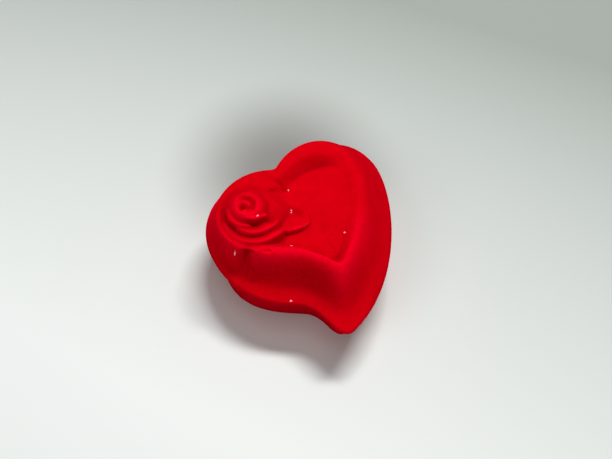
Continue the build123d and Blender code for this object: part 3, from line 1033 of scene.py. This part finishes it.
def flock(name, deep, bright, worn_and_lit_colour, painted_hollow_shade, sheen_tint, fibre, patch):
    """A flocked or velvet finish, from its colours, a painted highlight and a painted shade among them, and
    the sizes of its fibres and patches.
    """
    material, tree, shader = new_material(name)
    nap = place_effect(tree, nap_effect, Fibre_size=fibre, Patch_size=patch)
    wear_and_painted_light = place_effect(tree, wear_and_painted_light_effect)
    coat = blend_colours(tree, nap.outputs["Nap"], deep, bright)
    # Brighter where the skin stands out, partly wear and partly a painted highlight; darker in the hollows,
    # a painted shade.
    coat = blend_colours(tree, wear_and_painted_light.outputs["Worn_and_lit"], coat, worn_and_lit_colour)
    coat = blend_colours(tree, wear_and_painted_light.outputs["Hollow_shade"], coat, painted_hollow_shade)
    tree.links.new(coat, shader.inputs["Base Color"])
    bump_sockets = {"Strength": 0.5, "Distance": fibre / 2, "Height": nap.outputs["Height"]}
    bump = node(tree, "ShaderNodeBump", bump_sockets)
    tree.links.new(bump.outputs["Normal"], shader.inputs["Normal"])
    set_sockets(shader, Roughness=0.95, Specular_IOR_Level=0.0, Sheen_Weight=0.5, Sheen_Roughness=0.4)
    shader.inputs["Sheen Tint"].default_value = sheen_tint
    return material


red_flock = flock(
    "red_flock", deep=(0.57, 0.0, 0.004, 1), bright=(0.70, 0.0, 0.006, 1),
    worn_and_lit_colour=(0.87, 0.0, 0.014, 1), painted_hollow_shade=(0.36, 0.0, 0.004, 1),
    sheen_tint=(1.0, 0.0, 0.03, 1), fibre=0.00025, patch=0.004)
for obj in (lid, base):
    obj.data.materials.append(red_flock)
    print(obj.name, "is finished in", red_flock.name)

# %% [markdown]
# A few specks of white lint cling to the flock. Each has a place on the lid, seen from above, and
# a noise frays its edge. The speck nearest to a point decides, so the distances are compared.

# %% Lint on the flock
lint_places = (
    (-13.4, 7.4), (-3.9, 7.8), (-4.3, 7.1), (-1.3, 14.0),
    (4.4, -5.0), (-8.9, -1.2), (-22.0, 4.1), (-14.7, -11.1),
)
lint_radius = 0.00022
lint_colour = (0.9, 0.6, 0.6, 1)
fray_size = 0.0003
tree = red_flock.node_tree
coat_socket = tree.nodes["Principled BSDF"].inputs["Base Color"]
place = node(tree, "ShaderNodeTexCoord").outputs["Object"]
flat = vector_maths(tree, "MULTIPLY", place, (1.0, 1.0, 0.0), "Vector")
nearest = 1.0
for lint_x, lint_y in lint_places:
    off = vector_maths(tree, "DISTANCE", flat, (lint_x * mm, lint_y * mm, 0.0), "Value")
    nearest = maths(tree, "MINIMUM", off, nearest)
fray = ranged(
    tree, grain(tree, fray_size, detail=1.0), from_low=0.3, from_high=0.7, to_low=0.2, to_high=1.6)
lint = maths(tree, "LESS_THAN", nearest, maths(tree, "MULTIPLY", fray, lint_radius))
plain_coat = coat_socket.links[0].from_socket
tree.links.new(blend_colours(tree, lint, plain_coat, lint_colour), coat_socket)
print("lint specks:", len(lint_places))

# %% [markdown]
# Velvet is woven with a cut pile, so it looks much like flock, in ivory. Satin is smooth: its long
# threads run one way, which a stretched noise shows. Brushed steel and card use the same idea with
# other sizes, so the threads are a node group too.

# %% The threads
thread_effect, enter, leave = new_effect("threads", {"Along": 0.004, "Across": 0.0001}, ("Threads",))
place = node(thread_effect, "ShaderNodeTexCoord").outputs["Object"]
per_along = maths(thread_effect, "DIVIDE", 1.0, enter.outputs["Along"])
per_across = maths(thread_effect, "DIVIDE", 1.0, enter.outputs["Across"])
stretch = node(thread_effect, "ShaderNodeCombineXYZ", {"X": per_along, "Y": per_across, "Z": per_across})
lying = vector_maths(thread_effect, "MULTIPLY", place, stretch.outputs[0], "Vector")
streaks = node(thread_effect, "ShaderNodeTexNoise", {"Vector": lying, "Scale": 1.0, "Detail": 2.0})
clear = ranged(thread_effect, streaks.outputs["Fac"], from_low=0.3, from_high=0.7)
thread_effect.links.new(clear, leave.inputs["Threads"])
print("effect:", thread_effect.name)


def threaded(name, dark, light, along, across, bump_height, rough_low, rough_high, **sockets):
    """A material whose colour, roughness and bump follow its threads."""
    material, tree, shader = new_material(name)
    threads = place_effect(tree, thread_effect, Along=along, Across=across).outputs["Threads"]
    tree.links.new(blend_colours(tree, threads, dark, light), shader.inputs["Base Color"])
    roughness = ranged(tree, threads, 0.0, 1.0, rough_low, rough_high)
    tree.links.new(roughness, shader.inputs["Roughness"])
    bump = node(tree, "ShaderNodeBump", {"Strength": 0.4, "Distance": bump_height, "Height": threads})
    tree.links.new(bump.outputs["Normal"], shader.inputs["Normal"])
    set_sockets(shader, **sockets)
    return material


# %% Velvet, satin, steel and card
# Like the red flock, the velvet is painted darker in its hollows and tucks, a painted shade, and brighter
# where it stands out, partly wear and partly a painted highlight.
velvet = flock(
    "velvet", deep=(0.62, 0.57, 0.47, 1), bright=(0.76, 0.71, 0.61, 1),
    worn_and_lit_colour=(0.84, 0.80, 0.71, 1), painted_hollow_shade=(0.42, 0.37, 0.29, 1),
    sheen_tint=(1.0, 0.96, 0.88, 1), fibre=0.0002, patch=0.003)
satin = threaded(
    "satin", dark=(0.70, 0.65, 0.55, 1), light=(0.80, 0.76, 0.67, 1), along=0.005, across=0.00012,
    bump_height=0.00002, rough_low=0.32, rough_high=0.46, Sheen_Weight=0.2, Specular_IOR_Level=0.4)
steel = threaded(
    "hinge_steel", dark=(0.42, 0.42, 0.41, 1), light=(0.58, 0.58, 0.56, 1), along=0.003, across=0.00006,
    bump_height=0.00001, rough_low=0.25, rough_high=0.45, Metallic=1.0)
card = threaded(
    "card", dark=(0.36, 0.32, 0.26, 1), light=(0.46, 0.42, 0.35, 1), along=0.0012, across=0.00025,
    bump_height=0.00003, rough_low=0.8, rough_high=0.95, Specular_IOR_Level=0.2)
cushion.data.materials.append(velvet)
pad.data.materials.append(satin)
spring.data.materials.append(steel)
for name, material in (
    ("base_hinge_leaf", steel), ("lid_hinge_leaf", steel), ("hinge_pin", steel),
    ("insert_board", card), ("lining_board", card),
):
    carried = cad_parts[name].data
    carried.materials.clear()
    carried.materials.append(material)
print("materials:", ", ".join(m.name for m in (red_flock, velvet, satin, steel, card)))

# %% [markdown]
# The camera looks down at sixty degrees from the front left, as the photograph does. The
# lens follows from the horizontal angle of view.

# %% Camera
view_target = np.array((-0.77, 5.52, rim_z)) * mm
view_distance = 176.4 * mm
view_up_deg = 60.0
view_side_deg = -30.0
view_angle_deg = 50.0
camera_data = bpy.data.cameras.new("camera")
camera_data.sensor_width = 36
camera_data.lens = camera_data.sensor_width / 2 / math.tan(math.radians(view_angle_deg / 2))
camera_data.clip_start = 0.01
camera = bpy.data.objects.new("camera", camera_data)
bpy.context.collection.objects.link(camera)
camera.rotation_euler = (math.radians(90 - view_up_deg), 0, math.radians(view_side_deg))
back = camera.rotation_euler.to_matrix() @ Vector((0, 0, 1))
camera.location = Vector(view_target) + back * view_distance
bpy.context.scene.camera = camera
print("camera at", [round(v / mm, 1) for v in camera.location])

# %% [markdown]
# The floor is pale. Its colour holds painted light: it is painted lighter towards the camera and
# darker away from it, where the light falls off, and a painted shadow, a dimmer patch, lies behind
# the box. Both are painted into the floor's colour, so that the lamps can stay at a plain level.

# %% Floor
floor_half = 0.8
floor_away = (0.817, 0.576, 0.0)
sheet_from = -0.05
sheet_to = 0.115
# Painted light falloff: the floor's colour is lighter near the camera and darker away from it.
near_painted_light = (0.93, 0.965, 0.945, 1)
far_painted_shade = (0.37, 0.41, 0.375, 1)
# A painted shadow: a dark patch mixed into the floor's colour behind the box.
painted_shadow_centre = (0.008, 0.036, 0.0)
painted_shadow_inner = 0.004
painted_shadow_outer = 0.042
painted_shadow_share = 0.7
painted_shadow_colour = (0.12, 0.10, 0.09, 1)
bm = bmesh.new()
bmesh.ops.create_grid(bm, x_segments=1, y_segments=1, size=floor_half)
mesh = bpy.data.meshes.new("floor")
bm.to_mesh(mesh)
bm.free()
floor = bpy.data.objects.new("floor", mesh)
bpy.context.collection.objects.link(floor)
floor_material, tree, shader = new_material("floor_sheet")
place = node(tree, "ShaderNodeTexCoord").outputs["Object"]
away = vector_maths(tree, "DOT_PRODUCT", place, floor_away, "Value")
painted_falloff = blend_colours(tree, ranged(tree, away, sheet_from, sheet_to), near_painted_light, far_painted_shade)
off = vector_maths(tree, "DISTANCE", place, painted_shadow_centre, "Value")
painted_shadow = ranged(tree, off, painted_shadow_inner, painted_shadow_outer, painted_shadow_share, 0.0, interpolation_type="SMOOTHSTEP")
tree.links.new(blend_colours(tree, painted_shadow, painted_falloff, painted_shadow_colour), shader.inputs["Base Color"])
set_sockets(shader, Roughness=0.9, Specular_IOR_Level=0.1)
floor.data.materials.append(floor_material)
print("floor", 2 * floor_half, "m wide in", floor_material.name)

# %% [markdown]
# Round the floor the world is pale where the camera or a shiny piece sees it, and almost dark as a
# light, so that the lamps make the shading. Light Path tells these rays apart.

# %% World
world_light = 0.04
world_seen = 0.55
world_colour = (0.97, 1.0, 0.98, 1)
world = bpy.data.worlds.new("studio")
world.use_nodes = True
surround = world.node_tree
rays = node(surround, "ShaderNodeLightPath").outputs
seen = maths(surround, "MAXIMUM", rays["Is Camera Ray"], rays["Is Glossy Ray"])
seen = maths(surround, "MAXIMUM", seen, rays["Is Transmission Ray"])
strength = ranged(surround, seen, 0.0, 1.0, world_light, world_seen)
background = surround.nodes["Background"]
background.inputs["Color"].default_value = world_colour
surround.links.new(strength, background.inputs["Strength"])
bpy.context.scene.world = world
bpy.context.scene.view_settings.view_transform = "Standard"
print("world lights with", world_light, "and is seen with", world_seen)

# %% [markdown]
# The key lamp hangs almost overhead, a little behind the box and to its right, so that the shadow
# falls to the front left. It is long across the picture and narrow in depth, which keeps the
# creases readable. Two wide, weak lamps from the left and from above fill the shadows.

# %% Lamps
picture_right = Vector((0.866, -0.5, 0.0))


def area_light(name, direction, distance, length, width, power):
    """A lamp in a direction from the box, facing it, its long side level across the picture."""
    data = bpy.data.lights.new(name, "AREA")
    data.shape = "RECTANGLE"
    data.size = length
    data.size_y = width
    data.energy = power
    lamp = bpy.data.objects.new(name, data)
    bpy.context.collection.objects.link(lamp)
    towards = Vector(direction).normalized()
    upright = towards.cross(picture_right).normalized()
    turn = Matrix((upright.cross(towards), upright, towards)).transposed()
    lamp.matrix_world = Matrix.Translation(Vector(view_target) + towards * distance) @ turn.to_4x4()
    print(name, "lamp at", [round(v, 2) for v in lamp.matrix_world.translation], "m")


area_light(
    "key", direction=(0.34, 0.17, 0.925), distance=0.5, length=0.22, width=0.06, power=2.15)
area_light(
    "fill from the left", direction=(-0.7, -0.1, 0.7), distance=0.8, length=0.4, width=0.4, power=1.25)
area_light(
    "fill from above", direction=(-0.05, -0.1, 1.0), distance=0.8, length=0.4, width=0.4, power=0.8)
